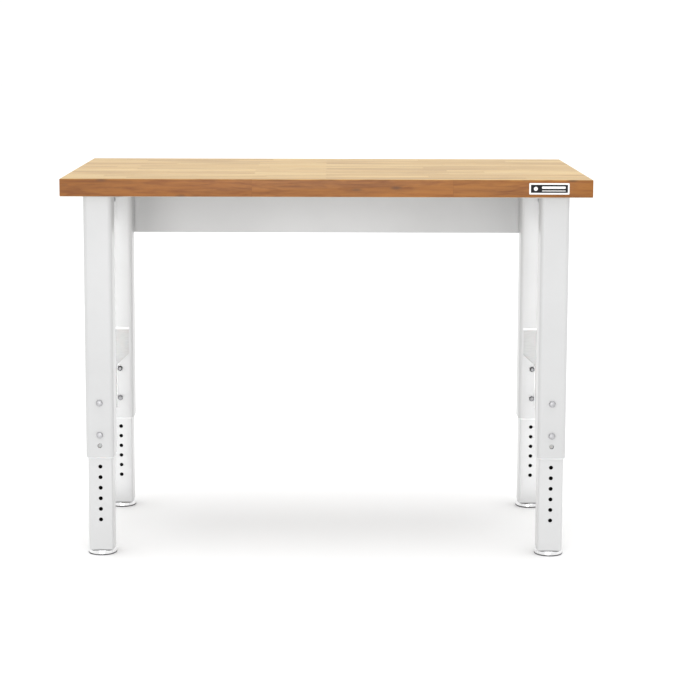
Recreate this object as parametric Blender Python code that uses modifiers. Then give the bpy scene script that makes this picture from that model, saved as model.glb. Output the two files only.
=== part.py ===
"""Adjustable-height hardwood bench: a thick wooden top on four telescoping steel legs.

Metres, +Z up. The origin is on the floor under the middle of the top, +X runs along
the bench and -Y is its front. Each leg is one design: it is built on its own axis with
its bolt heads facing -Y, and the two rear legs are the same assembly turned half round.
"""

from math import cos, pi, radians, sin

import bmesh
import bpy
from mathutils import Matrix

INCH = 0.0254
GAP = 0.0003

# Top
TOP_LENGTH = 48 * INCH
TOP_DEPTH = 25 * INCH
TOP_THICKNESS = 0.0413
TOP_HEIGHT = 0.892
TOP_EDGE = 0.0015
UNDERSIDE = TOP_HEIGHT - TOP_THICKNESS

# Legs
LEG_X = 0.528
FRONT_LEG_Y = -0.2545
REAR_LEG_Y = 0.1835
OUTER_WIDTH = 0.066
OUTER_WALL = 0.002
OUTER_CORNER = 0.010
OUTER_BOTTOM = 0.236
OUTER_TOP = UNDERSIDE - GAP
INNER_WIDTH = 0.0576
INNER_WALL = 0.002
INNER_CORNER = 0.0058
INNER_BOTTOM = 0.0125
INNER_TOP = 0.548
SLEEVE_GAP = 0.0004
SLEEVE_BOTTOM = OUTER_BOTTOM - 0.0035
SLEEVE_TOP = 0.545
CORNER_STEPS = 3

# Height holes, one inch apart, and the two bolts that cross each leg
HOLE_RADIUS = 0.0048
HOLE_SIDES = 8
FIRST_HOLE = 0.0855
HOLE_COUNT = 18
BOLT_HOLES = (8, 11)
SPARE_HOLE = 7
BOLT_RADIUS = 0.0040
BOLT_FLANGE_RADIUS = 0.0078
BOLT_FLANGE = 0.0016
BOLT_HEAD_RADIUS = 0.0070
BOLT_HEAD = 0.0058
BOLT_END = 0.0030
NUT_RADIUS = 0.0070
NUT_THICKNESS = 0.0050
NUT_BORE = 0.0043

# Access window in the wall that faces the other leg of the pair
WINDOW_TOP = 0.466
WINDOW_HALF = 0.0225
SILL_HIGH = 0.402
SILL_LOW = 0.3805
SLOT_EDGE = -0.0074
SLOT_TOP = 0.358
SLOT_BOTTOM = 0.262
SLOT_CORNER = 0.002
BEND_STEPS = 5

# Levelling feet
FOOT_RADIUS = 0.0335
FOOT_HEIGHT = 0.0110
FOOT_RIM = 0.0020
STUD_RADIUS = 0.0050
STUD_TOP = 0.040
PLUG_HEIGHT = 0.018
PLUG_BORE = 0.0056
FOOT_SIDES = 32

# Rails under the top
SHEET = 0.002
APRON_HEIGHT = 0.142
APRON_LENGTH = 2 * (LEG_X + OUTER_WIDTH / 2)
APRON_FLANGE = 0.030
APRON_FRONT = REAR_LEG_Y + OUTER_WIDTH / 2 + GAP
RAIL_TOP = UNDERSIDE - GAP
RAIL_HEIGHT = 0.100
RAIL_WEB_OFFSET = 0.030
RAIL_FLANGE = 0.028
RAIL_TAB = 0.026
RAIL_BOLT_OFFSET = 0.015
RAIL_START = FRONT_LEG_Y + OUTER_WIDTH / 2 + GAP
RAIL_END = REAR_LEG_Y - OUTER_WIDTH / 2 - GAP
APRON_BOLT_Z = (0.762, 0.818)
RAIL_BOLT_Z = 0.800
FRAME_BOLT_LENGTH = 0.012
FRAME_HOLE_RADIUS = BOLT_RADIUS + 2 * GAP
SCREW_RADIUS = 0.0030
SCREW_LENGTH = 0.026
SCREW_HEAD_RADIUS = 0.0065
SCREW_HEAD = 0.0040
PILOT_RADIUS = 0.0036
RAIL_SCREW_X = LEG_X + RAIL_BOLT_OFFSET
RAIL_SCREW_Y = (-0.150, 0.080)
APRON_SCREW_X = (-0.240, 0.240)
APRON_SCREW_Y = APRON_FRONT + 0.016

# Badge on the front edge
BADGE_X = 0.509
BADGE_WIDTH = 0.092
BADGE_HEIGHT = 0.026
BADGE_THICKNESS = 0.0008
BADGE_CORNER = 0.002

NAME = "work_bench"


def clear_scene():
    for obj in list(bpy.data.objects):
        bpy.data.objects.remove(obj, do_unlink=True)


def new_collection(name):
    collection = bpy.data.collections.new(name)
    bpy.context.scene.collection.children.link(collection)
    return collection


def material(name, colour, roughness, metallic=0.0):
    mat = bpy.data.materials.new(name)
    mat.use_nodes = True
    shader = mat.node_tree.nodes["Principled BSDF"]
    shader.inputs["Base Color"].default_value = (*colour, 1.0)
    shader.inputs["Roughness"].default_value = roughness
    shader.inputs["Metallic"].default_value = metallic
    return mat


def hole_height(number):
    return FIRST_HOLE + number * INCH


def rounded_rectangle(width, height, radius, steps=CORNER_STEPS):
    """Corner points of a rectangle about the origin, each corner an arc of `steps` chords."""
    points = []
    for quarter in range(4):
        angle = quarter * pi / 2
        centre_x = (width / 2 - radius) * (1 if quarter in (0, 3) else -1)
        centre_y = (height / 2 - radius) * (1 if quarter in (0, 1) else -1)
        for step in range(steps + 1):
            turn = angle + step * (pi / 2) / steps
            points.append((centre_x + radius * cos(turn), centre_y + radius * sin(turn)))
    return points


def mesh_from_curve(name, outlines, depth):
    """A flat outline, with any further outlines as its holes, given a depth along Z."""
    curve = bpy.data.curves.new(name, "CURVE")
    curve.dimensions = "2D"
    curve.fill_mode = "BOTH"
    curve.extrude = depth / 2
    for outline in outlines:
        spline = curve.splines.new("POLY")
        spline.points.add(len(outline) - 1)
        for point, (x, y) in zip(spline.points, outline):
            point.co = (x, y, 0.0, 1.0)
        spline.use_cyclic_u = True
    obj = bpy.data.objects.new(name, curve)
    bpy.context.scene.collection.objects.link(obj)
    graph = bpy.context.evaluated_depsgraph_get()
    mesh = bpy.data.meshes.new_from_object(obj.evaluated_get(graph))
    bpy.data.objects.remove(obj, do_unlink=True)
    bm = bmesh.new()
    bm.from_mesh(mesh)
    bmesh.ops.remove_doubles(bm, verts=bm.verts, dist=0.00001)
    bmesh.ops.recalc_face_normals(bm, faces=bm.faces)
    bm.to_mesh(mesh)
    bm.free()
    return mesh


def mesh_from_discs(name, discs):
    """Cylinders as (radius, sides, start, end, axis matrix) in one mesh, for pegs and cutters."""
    bm = bmesh.new()
    for radius, sides, start, end, matrix in discs:
        shift = Matrix.Translation((0, 0, (start + end) / 2))
        bmesh.ops.create_cone(bm, cap_ends=True, segments=sides, radius1=radius,
                              radius2=radius, depth=end - start, matrix=matrix @ shift)
    mesh = bpy.data.meshes.new(name)
    bm.to_mesh(mesh)
    bm.free()
    return mesh


def box_mesh(name, low, high):
    bm = bmesh.new()
    size = [b - a for a, b in zip(low, high)]
    middle = [(a + b) / 2 for a, b in zip(low, high)]
    matrix = Matrix.Translation(middle) @ Matrix.Diagonal((*size, 1.0))
    bmesh.ops.create_cube(bm, size=1.0, matrix=matrix)
    mesh = bpy.data.meshes.new(name)
    bm.to_mesh(mesh)
    bm.free()
    return mesh


def cutter(name, mesh):
    obj = bpy.data.objects.new(name, mesh)
    obj.hide_render = True
    obj.display_type = "WIRE"
    CUTTERS.objects.link(obj)
    return obj


def boolean(mesh, tool, operation="DIFFERENCE"):
    """The mesh after one exact Boolean with a tool object."""
    obj = bpy.data.objects.new(mesh.name, mesh)
    bpy.context.scene.collection.objects.link(obj)
    modifier = obj.modifiers.new("boolean", "BOOLEAN")
    modifier.object = tool
    modifier.operation = operation
    modifier.solver = "EXACT"
    graph = bpy.context.evaluated_depsgraph_get()
    result = bpy.data.meshes.new_from_object(obj.evaluated_get(graph))
    bpy.data.objects.remove(obj, do_unlink=True)
    return result


def smooth(mesh, angle=35):
    mesh.shade_smooth()
    mesh.set_sharp_from_angle(angle=radians(angle))
    return mesh


def part(name, mesh, mat, parent=None, location=(0, 0, 0), turn=0.0):
    """One named piece; pieces made from one mesh share its material."""
    obj = bpy.data.objects.new(name, mesh)
    PARTS.objects.link(obj)
    if not mesh.materials:
        mesh.materials.append(mat)
    obj.location = location
    obj.rotation_euler = (0, 0, turn)
    obj.parent = parent
    return obj


def empty(name, location, turn=0.0):
    obj = bpy.data.objects.new(name, None)
    obj.location = location
    obj.rotation_euler = (0, 0, turn)
    PARTS.objects.link(obj)
    return obj


ALONG_Y = Matrix.Rotation(-pi / 2, 4, "X")
FACE_Y = Matrix.Rotation(pi / 2, 4, "X")
ALONG_X = Matrix(((0, 0, 1, 0), (1, 0, 0, 0), (0, 1, 0, 0), (0, 0, 0, 1)))


def square_tube(name, width, wall, corner, bottom, top):
    outline = rounded_rectangle(width, width, corner)
    hollow = rounded_rectangle(width - 2 * wall, width - 2 * wall, corner - wall)
    mesh = mesh_from_curve(name, (outline, hollow), top - bottom)
    mesh.transform(Matrix.Translation((0, 0, (bottom + top) / 2)))
    return mesh


def holes_along_y(name, places, radius, start, end):
    """Cutter for round holes along Y, one at each (x, z) place, from y start to y end."""
    discs = []
    for x, z in places:
        discs.append((radius, HOLE_SIDES, start, end, Matrix.Translation((x, 0, z)) @ ALONG_Y))
    return cutter(name, mesh_from_discs(name, discs))


def upper_leg_mesh(hand, carries_apron):
    """Outer tube. `hand` is the side, +1 or -1 along X, where the window's sill is high."""
    name = "upper_leg_" + ("right" if hand > 0 else "left") + ("_apron" if carries_apron else "")
    mesh = square_tube(name, OUTER_WIDTH, OUTER_WALL, OUTER_CORNER, OUTER_BOTTOM, OUTER_TOP)
    face = OUTER_WIDTH / 2
    reach = face + 0.01
    bolts = [(0, hole_height(number)) for number in BOLT_HOLES]
    mesh = boolean(mesh, holes_along_y(name + "_bolts", bolts, HOLE_RADIUS, -reach, reach))
    spare = [(0, hole_height(SPARE_HOLE))]
    mesh = boolean(mesh, holes_along_y(name + "_spare", spare, HOLE_RADIUS, -reach, 0))
    rail = [(-RAIL_BOLT_OFFSET * hand, RAIL_BOLT_Z)]
    mesh = boolean(mesh, holes_along_y(name + "_rail", rail, FRAME_HOLE_RADIUS, 0, reach))
    if carries_apron:
        apron = [(0, z) for z in APRON_BOLT_Z]
        mesh = boolean(mesh, holes_along_y(name + "_frame", apron, FRAME_HOLE_RADIUS, -reach, 0))
    return smooth(boolean(mesh, window_cutter(name + "_window", hand)))


def window_outline():
    """Corners of the window in (x, z), with the high end of its sill towards +X.

    The head is level. The sill slopes down past the upper nut and bends into the edge of a
    slot that runs on down beside both nuts.
    """
    corner = SLOT_CORNER
    points = [
        (WINDOW_HALF, WINDOW_TOP), (-WINDOW_HALF, WINDOW_TOP),
        (-WINDOW_HALF, SLOT_BOTTOM + corner), (-WINDOW_HALF + corner, SLOT_BOTTOM),
        (SLOT_EDGE - corner, SLOT_BOTTOM), (SLOT_EDGE, SLOT_BOTTOM + corner),
    ]
    bend_corner = (SLOT_EDGE, SLOT_TOP + 0.75 * (SILL_LOW - SLOT_TOP))
    for step in range(BEND_STEPS + 1):
        t = step / BEND_STEPS
        weights = ((1 - t) ** 2, 2 * t * (1 - t), t ** 2)
        ends = ((SLOT_EDGE, SLOT_TOP), bend_corner, (0.0, SILL_LOW))
        points.append(tuple(sum(w * end[axis] for w, end in zip(weights, ends))
                            for axis in (0, 1)))
    return points + [(WINDOW_HALF, SILL_HIGH)]


def window_cutter(name, hand):
    """Opening through the wall at +Y, mirrored for the other hand."""
    outline = [(x * hand, z) for x, z in window_outline()]
    mesh = mesh_from_curve(name, (outline,), 0.02)
    mesh.transform(Matrix.Translation((0, OUTER_WIDTH / 2, 0)) @ FACE_Y)
    return cutter(name, mesh)


def lower_leg_mesh():
    """Inner tube with the height holes through its front and rear walls."""
    mesh = square_tube("lower_leg", INNER_WIDTH, INNER_WALL, INNER_CORNER, INNER_BOTTOM, INNER_TOP)
    places = [(0, hole_height(number)) for number in range(HOLE_COUNT)]
    return smooth(boolean(mesh, holes_along_y("height_holes", places, HOLE_RADIUS, -0.04, 0.04)))


def glide_sleeve_mesh():
    """Thin liner between the two tubes, with holes only for the two bolts."""
    width = OUTER_WIDTH - 2 * OUTER_WALL - 2 * SLEEVE_GAP
    wall = (width - INNER_WIDTH) / 2 - SLEEVE_GAP
    corner = OUTER_CORNER - OUTER_WALL - SLEEVE_GAP
    mesh = square_tube("glide_sleeve", width, wall, corner, SLEEVE_BOTTOM, SLEEVE_TOP)
    places = [(0, hole_height(number)) for number in BOLT_HOLES]
    return smooth(boolean(mesh, holes_along_y("sleeve_holes", places, HOLE_RADIUS, -0.04, 0.04)))


def bolt_mesh(name, length):
    """Flanged hexagon bolt along +Y with its seat at y 0."""
    seat = -BOLT_FLANGE
    shank = mesh_from_discs(name, [(BOLT_RADIUS, 12, seat / 2, length, ALONG_Y)])
    flange = mesh_from_discs(name + "_flange", [(BOLT_FLANGE_RADIUS, 16, seat, 0, ALONG_Y)])
    head = mesh_from_discs(name + "_head", [(BOLT_HEAD_RADIUS, 6, -BOLT_HEAD, seat / 2, ALONG_Y)])
    mesh = boolean(flange, cutter(name + "_shank", shank), "UNION")
    return smooth(boolean(mesh, cutter(name + "_head", head), "UNION"))


def nut_mesh():
    """Hexagon nut along +Y with its seat at y 0."""
    mesh = mesh_from_discs("nut", [(NUT_RADIUS, 6, 0, NUT_THICKNESS, ALONG_Y)])
    bore = mesh_from_discs("nut_bore", [(NUT_BORE, 12, -0.01, 0.02, ALONG_Y)])
    return smooth(boolean(mesh, cutter("nut_bore", bore)))


def screw_mesh():
    """Hexagon-headed wood screw along +Z with its seat at z 0."""
    identity = Matrix.Identity(4)
    head = mesh_from_discs("lag_screw", [(SCREW_HEAD_RADIUS, 6, -SCREW_HEAD, 0, identity)])
    shank = mesh_from_discs("screw_shank", [(SCREW_RADIUS, 10, -0.001, SCREW_LENGTH, identity)])
    return smooth(boolean(head, cutter("screw_shank", shank), "UNION"))


def foot_mesh():
    """Levelling foot: a round pad and its stud, turned about Z."""
    profile = [
        (0, STUD_TOP),
        (STUD_RADIUS, STUD_TOP),
        (STUD_RADIUS, FOOT_HEIGHT),
        (FOOT_RADIUS - FOOT_RIM, FOOT_HEIGHT),
        (FOOT_RADIUS, FOOT_HEIGHT - FOOT_RIM),
        (FOOT_RADIUS, FOOT_RIM / 2),
        (FOOT_RADIUS - FOOT_RIM / 2, 0),
        (0, 0),
    ]
    mesh = bpy.data.meshes.new("foot_profile")
    edges = [(i, i + 1) for i in range(len(profile) - 1)]
    mesh.from_pydata([(x, 0, z) for x, z in profile], edges, [])
    obj = bpy.data.objects.new("foot_profile", mesh)
    bpy.context.scene.collection.objects.link(obj)
    screw = obj.modifiers.new("turn", "SCREW")
    screw.steps = FOOT_SIDES
    screw.render_steps = FOOT_SIDES
    screw.use_merge_vertices = True
    screw.merge_threshold = 0.00001
    graph = bpy.context.evaluated_depsgraph_get()
    turned = bpy.data.meshes.new_from_object(obj.evaluated_get(graph))
    bpy.data.objects.remove(obj, do_unlink=True)
    turned.name = "foot"
    return smooth(turned)


def foot_plug_mesh():
    """Square plug in the end of the inner tube, bored for the stud."""
    width = INNER_WIDTH - 2 * INNER_WALL - 2 * GAP
    outline = rounded_rectangle(width, width, INNER_CORNER - INNER_WALL)
    bore = [(PLUG_BORE * cos(i * pi / 6), PLUG_BORE * sin(i * pi / 6)) for i in range(12)]
    mesh = mesh_from_curve("foot_plug", (outline, bore), PLUG_HEIGHT)
    mesh.transform(Matrix.Translation((0, 0, INNER_BOTTOM + PLUG_HEIGHT / 2)))
    return smooth(mesh)


def worktop_mesh():
    """Thick board with eased edges, pilot holes underneath and a pocket for the badge."""
    half_x = TOP_LENGTH / 2
    half_y = TOP_DEPTH / 2
    board = box_mesh("worktop", (-half_x, -half_y, UNDERSIDE), (half_x, half_y, TOP_HEIGHT))
    obj = bpy.data.objects.new("worktop_blank", board)
    bpy.context.scene.collection.objects.link(obj)
    bevel = obj.modifiers.new("eased_edges", "BEVEL")
    bevel.width = TOP_EDGE
    bevel.segments = 2
    graph = bpy.context.evaluated_depsgraph_get()
    mesh = bpy.data.meshes.new_from_object(obj.evaluated_get(graph))
    bpy.data.objects.remove(obj, do_unlink=True)
    top = UNDERSIDE + SCREW_LENGTH + 0.002
    discs = []
    for x, y in screw_places():
        discs.append((PILOT_RADIUS, 12, UNDERSIDE - 0.01, top, Matrix.Translation((x, y, 0))))
    mesh = boolean(mesh, cutter("pilot_holes", mesh_from_discs("pilot_holes", discs)))
    return smooth(boolean(mesh, cutter("badge_pocket", badge_mesh("badge_pocket", GAP))))


def badge_mesh(name, extra):
    """Name plate on the front edge; `extra` grows it into the pocket that holds it."""
    width = BADGE_WIDTH + 2 * extra
    height = BADGE_HEIGHT + 2 * extra
    front = TOP_DEPTH / 2 + 10 * extra
    back = TOP_DEPTH / 2 - BADGE_THICKNESS - extra
    outline = rounded_rectangle(width, height, BADGE_CORNER + extra)
    mesh = mesh_from_curve(name, (outline,), front - back)
    middle = (BADGE_X, -(front + back) / 2, TOP_HEIGHT - TOP_THICKNESS / 2)
    mesh.transform(Matrix.Translation(middle) @ FACE_Y)
    return mesh


def screw_places():
    """Where the wood screws rise into the top, as (x, y)."""
    places = [(side * RAIL_SCREW_X, y) for side in (-1, 1) for y in RAIL_SCREW_Y]
    return places + [(x, APRON_SCREW_Y) for x in APRON_SCREW_X]


def back_apron_mesh():
    """Channel section behind the rear legs, flanges to the rear."""
    flange, sheet, height = APRON_FLANGE, SHEET, APRON_HEIGHT
    outline = [
        (0, 0), (flange, 0), (flange, sheet), (sheet, sheet),
        (sheet, height - sheet), (flange, height - sheet), (flange, height), (0, height),
    ]
    mesh = mesh_from_curve("back_apron", (outline,), APRON_LENGTH)
    mesh.transform(Matrix.Translation((0, APRON_FRONT, RAIL_TOP - height)) @ ALONG_X)
    bolts = [(side * LEG_X, z) for side in (-1, 1) for z in APRON_BOLT_Z]
    start, end = APRON_FRONT - 0.01, APRON_FRONT + 0.01
    mesh = boolean(mesh, holes_along_y("apron_bolts", bolts, FRAME_HOLE_RADIUS, start, end))
    return smooth(boolean(mesh, flange_holes("apron_screws", screw_places()[4:])))


def flange_holes(name, places):
    discs = []
    for x, y in places:
        discs.append((PILOT_RADIUS, 12, RAIL_TOP - 0.01, RAIL_TOP + 0.01,
                      Matrix.Translation((x, y, 0))))
    return cutter(name, mesh_from_discs(name, discs))


def side_rail_mesh(side):
    """Folded rail between a front and a rear leg: web, top flange and a tab at each end."""
    name = "side_rail_" + ("right" if side > 0 else "left")
    web = side * (LEG_X + RAIL_WEB_OFFSET)

    def across(width):
        """X range from the web towards the middle of the bench."""
        return sorted((web, web - side * width))

    bottom = RAIL_TOP - RAIL_HEIGHT
    pieces = [
        (SHEET, RAIL_START, RAIL_END, bottom),
        (RAIL_FLANGE, RAIL_START, RAIL_END, RAIL_TOP - SHEET),
        (RAIL_TAB, RAIL_START, RAIL_START + SHEET, bottom),
        (RAIL_TAB, RAIL_END - SHEET, RAIL_END, bottom),
    ]
    mesh = None
    for index, (width, start, end, low) in enumerate(pieces):
        x_low, x_high = across(width)
        box = box_mesh(name, (x_low, start, low), (x_high, end, RAIL_TOP))
        mesh = box if mesh is None else boolean(mesh, cutter(f"{name}_{index}", box), "UNION")
    bolts = [(side * (LEG_X + RAIL_BOLT_OFFSET), RAIL_BOLT_Z)]
    start, end = RAIL_START - 0.01, RAIL_END + 0.01
    mesh = boolean(mesh, holes_along_y(name + "_bolts", bolts, FRAME_HOLE_RADIUS, start, end))
    screws = [place for place in screw_places()[:4] if place[0] * side > 0]
    return smooth(boolean(mesh, flange_holes(name + "_screws", screws)))


def build_leg(name, x_side, y, turn, meshes, paint, nylon, zinc, bright):
    """One telescoping leg: the outer tube and its fittings, then the pieces that slide."""
    rear = turn != 0.0
    hand = x_side if rear else -x_side
    leg = empty(name + "_leg", (x_side * LEG_X, y, 0), turn)
    part(name + "_upper_leg", meshes["upper"][hand, rear], paint, leg)
    part(name + "_glide_sleeve", meshes["sleeve"], nylon, leg)
    face = OUTER_WIDTH / 2 + GAP
    for label, number in zip(("lower", "upper"), BOLT_HOLES):
        z = hole_height(number)
        part(f"{name}_bolt_{label}", meshes["bolt"], zinc, leg, (0, -face, z))
        part(f"{name}_nut_{label}", meshes["nut"], zinc, leg, (0, face, z))
    sliding = part(name + "_lower_leg", meshes["lower"], paint, leg)
    part(name + "_foot_plug", meshes["plug"], nylon, sliding)
    part(name + "_foot", meshes["foot"], bright, sliding)


def build_frame(paint, zinc):
    """Apron, side rails and the bolts and screws that hold them."""
    part("back_apron", back_apron_mesh(), paint)
    bolt = bolt_mesh("frame_bolt", FRAME_BOLT_LENGTH)
    screw = screw_mesh()
    seat_y = SHEET + GAP
    for side, label in ((-1, "left"), (1, "right")):
        part(f"side_rail_{label}", side_rail_mesh(side), paint)
        for level, z in zip(("low", "high"), APRON_BOLT_Z):
            place = (side * LEG_X, APRON_FRONT + seat_y, z)
            part(f"apron_bolt_{label}_{level}", bolt, zinc, None, place, pi)
        x = side * (LEG_X + RAIL_BOLT_OFFSET)
        front, rear = RAIL_START + seat_y, RAIL_END - seat_y
        part(f"rail_bolt_{label}_front", bolt, zinc, None, (x, front, RAIL_BOLT_Z), pi)
        part(f"rail_bolt_{label}_rear", bolt, zinc, None, (x, rear, RAIL_BOLT_Z))
    for index, (x, y) in enumerate(screw_places(), 1):
        part(f"wood_screw_{index}", screw, zinc, None, (x, y, RAIL_TOP - seat_y))


def main():
    wood = material("hardwood", (0.72, 0.50, 0.31), 0.42)
    paint = material("white_paint", (0.86, 0.86, 0.85), 0.32)
    nylon = material("white_nylon", (0.84, 0.84, 0.82), 0.40)
    zinc = material("zinc_plate", (0.62, 0.63, 0.65), 0.35, 1.0)
    bright = material("bright_foot", (0.80, 0.80, 0.80), 0.15, 1.0)
    plate = material("dark_badge", (0.03, 0.03, 0.035), 0.35)
    part("worktop", worktop_mesh(), wood)
    part("badge", smooth(badge_mesh("badge", 0)), plate)
    build_frame(paint, zinc)
    through = OUTER_WIDTH + 2 * GAP + NUT_THICKNESS + BOLT_END
    meshes = {
        "upper": {(hand, rear): upper_leg_mesh(hand, rear)
                  for hand in (-1, 1) for rear in (False, True)},
        "lower": lower_leg_mesh(),
        "sleeve": glide_sleeve_mesh(),
        "bolt": bolt_mesh("leg_bolt", through),
        "nut": nut_mesh(),
        "plug": foot_plug_mesh(),
        "foot": foot_mesh(),
    }
    for name, x_side, y, turn in (
        ("front_left", -1, FRONT_LEG_Y, 0.0),
        ("front_right", 1, FRONT_LEG_Y, 0.0),
        ("rear_left", -1, REAR_LEG_Y, pi),
        ("rear_right", 1, REAR_LEG_Y, pi),
    ):
        build_leg(name, x_side, y, turn, meshes, paint, nylon, zinc, bright)


clear_scene()
PARTS = new_collection(NAME)
CUTTERS = new_collection(NAME + "_cutters")
main()
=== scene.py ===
"""Looks of the adjustable work bench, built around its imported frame. Metres, +Z up, front at -Y."""

from math import cos, pi, radians, sin

import bmesh
import bpy
from mathutils import Matrix, Vector


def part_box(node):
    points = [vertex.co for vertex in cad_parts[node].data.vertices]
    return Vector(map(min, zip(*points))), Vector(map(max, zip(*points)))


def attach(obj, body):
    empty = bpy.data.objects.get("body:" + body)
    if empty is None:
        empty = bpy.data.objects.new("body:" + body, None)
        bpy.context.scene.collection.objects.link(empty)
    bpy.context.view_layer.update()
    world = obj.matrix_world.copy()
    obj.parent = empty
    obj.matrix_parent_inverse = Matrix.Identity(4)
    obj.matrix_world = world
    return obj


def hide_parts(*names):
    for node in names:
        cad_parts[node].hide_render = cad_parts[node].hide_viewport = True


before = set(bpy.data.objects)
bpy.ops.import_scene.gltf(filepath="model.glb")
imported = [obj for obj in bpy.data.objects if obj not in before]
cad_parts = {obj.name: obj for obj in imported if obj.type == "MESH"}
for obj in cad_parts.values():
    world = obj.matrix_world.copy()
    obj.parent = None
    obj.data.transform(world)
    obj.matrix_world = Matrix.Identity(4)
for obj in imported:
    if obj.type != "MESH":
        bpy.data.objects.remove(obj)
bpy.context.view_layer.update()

LEGS = ("front_left", "front_right", "rear_left", "rear_right")

# Camera
CAMERA_PLACE = (0.005, -4.5375, 1.252)
CAMERA_LENS = 99.0
CAMERA_PITCH = radians(7.05)
CAMERA_ROLL = radians(0.146)
CAMERA_SHIFT = (0.0135, -0.13)

# Light
WORLD_STRENGTH = 1.02
SKYLIGHT = 1.25
SKYLIGHT_SPREAD = 42
FILL_PLACE = (-0.6, -6.0, 1.4)
FILL_SIZE = (3.0, 1.6)
FILL_POWER = 95.0
STRIP_PLACE = (0.533, -0.19, 0.43)
STRIP_SIZE = (0.05, 0.8)
STRIP_POWER = 0.082
STRIP_SPREAD = 18
GLOW_PLACE = (0.0, -0.10, 0.60)
GLOW_AIM = (0.0, 0.29, 0.74)
GLOW_SIZE = (0.34, 0.04)
GLOW_POWER = 0.012
GLOW_SPREAD = 36

# Tube and sheet sections
OUTER_CORNER = 0.010
INNER_CORNER = 0.0058
WALL = 0.002
CORNER_STEPS = 8
EDGE_ROUND = 0.0004
HOLE_SIDES = 32
HEIGHT_HOLE_RADIUS = 0.0048
HOLE_PITCH = 0.0254
FIRST_HOLE = 0.0855
HOLE_COUNT = 18
BOLT_HOLES = (8, 11)
SPARE_HOLE = 7
SPARE_EDGE = 0.0005
FRAME_HOLE_RADIUS = 0.0046
OVERCUT = 0.01

# Window in the wall that faces the other leg of the pair
WINDOW_TOP = 0.466
WINDOW_HALF = 0.0225
SILL_HIGH = 0.402
SILL_LOW = 0.3805
SLOT_EDGE = -0.0074
SLOT_TOP = 0.358
SLOT_BOTTOM = 0.262
SLOT_CORNER = 0.002
BEND_STEPS = 14
HEM_HEIGHT = 0.0065
HEM_OVERLAP = 0.002
HEM_PROUD = 0.0012
LIP_RADIUS = 0.0014

# Glide sleeve, foot and the plug that holds the foot's stud
SLEEVE_CORNER = 0.0076
COLLAR_HEIGHT = 0.010
FOOT_BASE = 0.0024
STUD_RADIUS = 0.005
PLUG_BORE = 0.0056
PLUG_CORNER = 0.0036

# Sheet rails
BEND_RADIUS = 0.0035
TAB_WIDTH = 0.026

# Hexagon bolts, nuts and wood screws
SHANK_RADIUS = 0.0040
FLANGE_RADIUS = 0.0078
FLANGE_HEIGHT = 0.0016
HEAD_RADIUS = 0.0070
HEAD_HEIGHT = 0.0058
NUT_BORE = 0.00425
SCREW_RADIUS = 0.003
SCREW_HOLE_RADIUS = 0.0036
SCREW_HEAD_RADIUS = 0.0065
SCREW_HEAD_HEIGHT = 0.004

# Worktop and its name plate
BOARD_EDGE = 0.0022
STAVE_WIDTH = 0.0423
STAVE_LENGTH = 0.46
PLATE_CORNER = 0.002
PLATE_MARGIN = 0.0002
PLATE_BORDER = 0.00375
DOT_RADIUS = 0.0046
DOT_X = -0.031
BAR_X = 0.010
BAR_LENGTH = 0.054
BARS = ((0.0028, 0.0052), (-0.0048, 0.0016))


# ---------------------------------------------------------------- node helpers


def new_material(name):
    """An empty Principled material and its node tree."""
    mat = bpy.data.materials.new(name)
    mat.use_nodes = True
    shader = mat.node_tree.nodes["Principled BSDF"]
    return mat, mat.node_tree, shader


def node(tree, kind, **values):
    """A node with its properties set; names in capitals first are input sockets."""
    made = tree.nodes.new(kind)
    for key, value in values.items():
        if key[0].isupper():
            made.inputs[key.replace("_", " ")].default_value = value
        else:
            setattr(made, key, value)
    return made


def link(tree, source, target):
    """Joins an output socket to an input socket."""
    tree.links.new(source, target)


def object_coordinates(tree, scale=(1.0, 1.0, 1.0)):
    """Object coordinates in metres, stretched per axis."""
    place = node(tree, "ShaderNodeTexCoord")
    stretch = node(tree, "ShaderNodeMapping")
    stretch.inputs["Scale"].default_value = scale
    link(tree, place.outputs["Object"], stretch.inputs["Vector"])
    return stretch.outputs["Vector"]


def noise(tree, vector, scale, detail=4.0, roughness=0.55, distortion=0.0):
    """Noise from 0 to 1."""
    made = node(tree, "ShaderNodeTexNoise", Scale=scale, Detail=detail,
                Roughness=roughness, Distortion=distortion)
    link(tree, vector, made.inputs["Vector"])
    return made.outputs["Fac"]


def ramp(tree, fac, stops):
    """A colour ramp through (position, colour) stops."""
    made = node(tree, "ShaderNodeValToRGB")
    elements = made.color_ramp.elements
    elements[0].position, elements[0].color = stops[0][0], (*stops[0][1], 1.0)
    elements[1].position, elements[1].color = stops[-1][0], (*stops[-1][1], 1.0)
    for position, colour in stops[1:-1]:
        elements.new(position).color = (*colour, 1.0)
    link(tree, fac, made.inputs["Fac"])
    return made.outputs["Color"]


def remap(tree, fac, low, high, from_low=0.0, from_high=1.0):
    """A value carried from one range to another, clamped at its ends."""
    made = node(tree, "ShaderNodeMapRange")
    for key, value in (("From Min", from_low), ("From Max", from_high),
                       ("To Min", low), ("To Max", high)):
        made.inputs[key].default_value = value
    link(tree, fac, made.inputs["Value"])
    return made.outputs["Result"]


def maths(tree, operation, a, b):
    """A maths node on sockets or plain numbers."""
    made = node(tree, "ShaderNodeMath", operation=operation)
    for index, value in enumerate((a, b)):
        if isinstance(value, (int, float)):
            made.inputs[index].default_value = value
        else:
            link(tree, value, made.inputs[index])
    return made.outputs["Value"]


def mix(tree, blend, fac, a, b):
    """A colour mix; each of fac, a and b is a socket or a plain value."""
    made = node(tree, "ShaderNodeMix", data_type="RGBA", blend_type=blend)
    for socket, value in ((made.inputs[0], fac), (made.inputs[6], a), (made.inputs[7], b)):
        if isinstance(value, (int, float)):
            socket.default_value = value
        elif isinstance(value, tuple):
            socket.default_value = (*value, 1.0)
        else:
            link(tree, value, socket)
    return made.outputs[2]


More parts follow.
